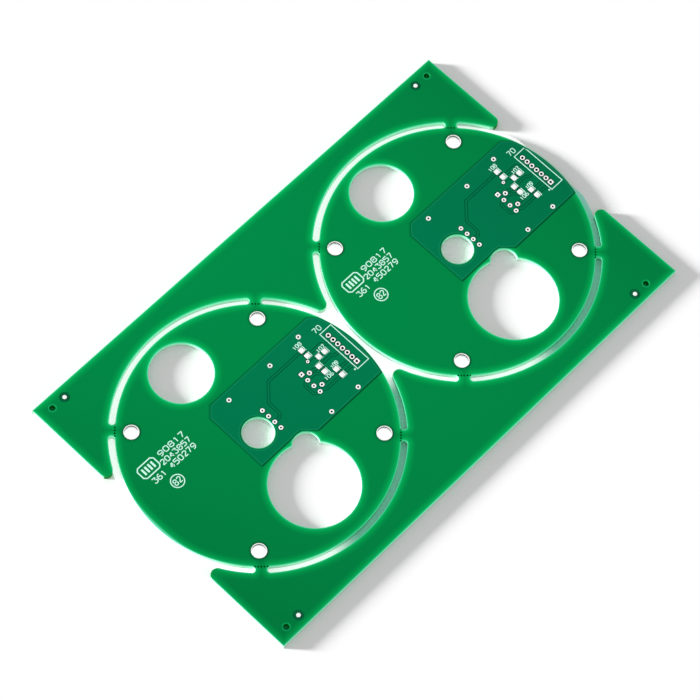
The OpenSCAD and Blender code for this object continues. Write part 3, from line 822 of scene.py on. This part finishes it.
def printPaths(paths, level, line):
    points, edges = [], []
    for side in (-1, 1):
        for path in paths:
            first = len(points)
            for n, (x, y) in enumerate(path):
                points.append((x + side * boardGap / 2, y, level + legend["thickness"] / 2))
                if n:
                    edges.append((first + n - 1, first + n))
    return makeMesh(pointsObject("linesToPrint", points, edges), printedLine, ink,
                    Line=line * mm, Thickness=legend["thickness"] * mm, Corner=legend["corner"] * mm)


def ringPath():
    x, y = legend["ringAt"]
    turns = [2 * math.pi * n / legend["ringSteps"] for n in range(legend["ringSteps"] + 1)]
    return [(x + legend["ringRadius"] * math.cos(a), y + legend["ringRadius"] * math.sin(a))
            for a in turns]


def badgePaths():   # a frame with cut corners, and the bars inside it
    x0, y0, x1, y1 = legend["badge"]
    cut, inset = legend["badgeCut"], legend["barInset"]
    outside = [(x0 + cut, y0), (x1 - cut, y0), (x1, y0 + cut), (x1, y1 - cut), (x1 - cut, y1),
               (x0 + cut, y1), (x0, y1 - cut), (x0, y0 + cut), (x0 + cut, y0)]
    places = [x0 + legend["barStart"] + n * legend["barStep"] for n in range(legend["bars"])]
    return outside, [[(x, y0 + inset), (x, y1 - inset)] for x in places]


printed = []
for text, left, right, foot, head, overPour in legend["rows"]:
    printed.append(printPaths(textPaths(text, left, right, foot, head),
                              legend["highLevel" if overPour else "lowLevel"],
                              legend["smallLine" if overPour else "line"]))
badgeFrame, badgeBars = badgePaths()
for paths, line in ((textPaths(*legend["ringText"]), "line"), ([ringPath()], "ringLine"),
                    ([badgeFrame], "badgeLine"), (badgeBars, "barLine")):
    printed.append(printPaths(paths, legend["lowLevel"], legend[line]))
numbers = joined("printedNumbers", printed, ink)
for face in numbers.data.polygons:
    face.use_smooth = False
low, high = Vector(numbers.bound_box[0]), Vector(numbers.bound_box[6])
print("printed numbers between", [round(c / mm, 3) for c in (low.z, high.z)])

for piece, node, slot in ((pads, "pad_tin", "tin"), (dots, "alignment_dots", "tin"),
                          (viaRings, "via_plating", "tin"), (pinRings, "pin_hole_plating", "tin"),
                          (mountRings, "mounting_hole_plating", "tin"), (numbers, None, "legend_ink")):
    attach(piece, "root")
    if node:
        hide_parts(node)
print("pieces ride on the board")


stageSizes = {"reach": 3.0, "drop": 0.02, "sun": 7.2, "sunAngle": 8.7, "dome": 0.53,
              "sunTravel": (4.9, -5.7, -1.6)}
floorLook = {   # reaches in millimetres, lights as strengths of emission
    "white": (1, 1, 1, 1), "whenNotSeen": (0.82, 0.82, 0.82, 1),
    "slotLight": 0.44, "slotReach": 0.2, "ringLight": 0.616, "ringReach": 0.3,
    "gapLight": 0.572, "gapAcross": (6, 9), "gapAlong": (9, 15),
    "shadedTint": tone(172, 251, 232), "toolingTint": tone(30, 200, 120), "toolingReach": 0.2,
    "besideLight": 0.01, "besideReach": 2.6,
}


def floorWhite():
    look = floorLook
    material, tree, shader = newMaterial("floorWhite")
    seen = seenDirectly(tree)
    base = blendColour(tree, seen, look["whenNotSeen"], look["white"])
    edge, ring, tooling, slot, shaded = readField(
        tree, "Edge distance", "Ring distance", "Tooling distance", "Slot distance", "Shaded side")
    # painted light: under the slots and round the cut edges the floor glows by emission, standing in
    # for light through the laminate
    x, y = objectPlace(tree)[:2]
    front = 1 - Wire(tree, put(tree, "ShaderNodeNewGeometry").outputs["Backfacing"])
    inPanel = (abs(x) < panelLength / 2) * front
    # painted light in the gap where the boards meet
    between = abs(x).ramp(*look["gapAcross"], 1, 0) * abs(y).ramp(*look["gapAlong"], 1, 0)
    inSlot = slot.ramp(0, look["slotReach"], look["slotLight"], 0) * (1 - shaded) * inPanel
    inRing = ring.ramp(0, look["ringReach"], look["ringLight"], 0)
    through = inSlot.most(inRing).most(between * look["gapLight"]) * front
    inTooling = tooling.ramp(0, look["toolingReach"], 1, 0)
    # painted shade tinted green on the floor in the slots on the side away from the light, and painted
    # green light and shade under the tooling holes
    base = blendColour(tree, shaded * inPanel * (1 - between), base, look["shadedTint"])
    base = blendColour(tree, inTooling * front, base, look["toolingTint"])
    feed(tree, base, shader.inputs["Base Color"])
    shader.inputs["Emission Color"].default_value = look["white"]
    beside = edge.ramp(-look["besideReach"], 0, 0, look["besideLight"]) * (1 - inTooling) * seen
    feed(tree, through + beside, shader.inputs["Emission Strength"])
    shader.inputs["Roughness"].default_value = 1
    shader.inputs["Specular IOR Level"].default_value = 0
    return material


reach = stageSizes["reach"]
floorMesh = bpy.data.meshes.new("floor")
floorMesh.from_pydata([(x * reach, y * reach, -stageSizes["drop"] * mm) for x, y in
                       ((-1, -1), (1, -1), (1, 1), (-1, 1))], [], [(0, 1, 2, 3)])
floorMesh.materials.append(floorWhite())
floor = bpy.data.objects.new("floor", floorMesh)
scene.collection.objects.link(floor)

sun = bpy.data.lights.new("lowSun", "SUN")
sun.energy, sun.angle = stageSizes["sun"], math.radians(stageSizes["sunAngle"])
sunObject = bpy.data.objects.new("lowSun", sun)
sunObject.rotation_mode = "QUATERNION"
sunObject.rotation_quaternion = Vector(stageSizes["sunTravel"]).to_track_quat("-Z", "Y")
sunObject.visible_glossy = False   # the dome gives the gloss, so a low sun leaves no glare
scene.collection.objects.link(sunObject)

world = bpy.data.worlds.new("paleDome")
world.use_nodes = True
scene.world = world
worldTree = world.node_tree
worldTree.nodes.clear()
seen = seenDirectly(worldTree)
background = put(worldTree, "ShaderNodeBackground")
background.inputs["Color"].default_value = (1, 1, 1, 1)
feed(worldTree, seen * (1 - stageSizes["dome"]) + stageSizes["dome"], background.inputs["Strength"])
worldTree.links.new(background.outputs[0], put(worldTree, "ShaderNodeOutputWorld").inputs[0])

# metres and degrees; the roll and the target follow the photo
cameraView = {"target": (-0.00346, -0.00032, 0.0016), "distance": 0.70162,
              "azimuth": -142.7276, "elevation": 64.7542, "roll": 7.3027,
              "lens": 159.16, "sensor": 36, "near": 0.05, "far": 10}


def placeCamera(view):
    data = bpy.data.cameras.new("camera")
    data.sensor_width, data.lens = view["sensor"], view["lens"]
    data.clip_start, data.clip_end = view["near"], view["far"]
    camera = bpy.data.objects.new("camera", data)
    scene.collection.objects.link(camera)
    azimuth, elevation = math.radians(view["azimuth"]), math.radians(view["elevation"])
    away = Vector((math.cos(elevation) * math.cos(azimuth), math.cos(elevation) * math.sin(azimuth),
                   math.sin(elevation)))
    turn = (-away).to_track_quat("-Z", "Y").to_matrix().to_4x4()
    camera.matrix_world = Matrix.Translation(Vector(view["target"]) + away * view["distance"]) \
        @ turn @ Matrix.Rotation(math.radians(view["roll"]), 4, "Z")
    scene.camera = camera


placeCamera(cameraView)
scene.view_settings.view_transform = "Standard"
print("stage, light and camera ready")
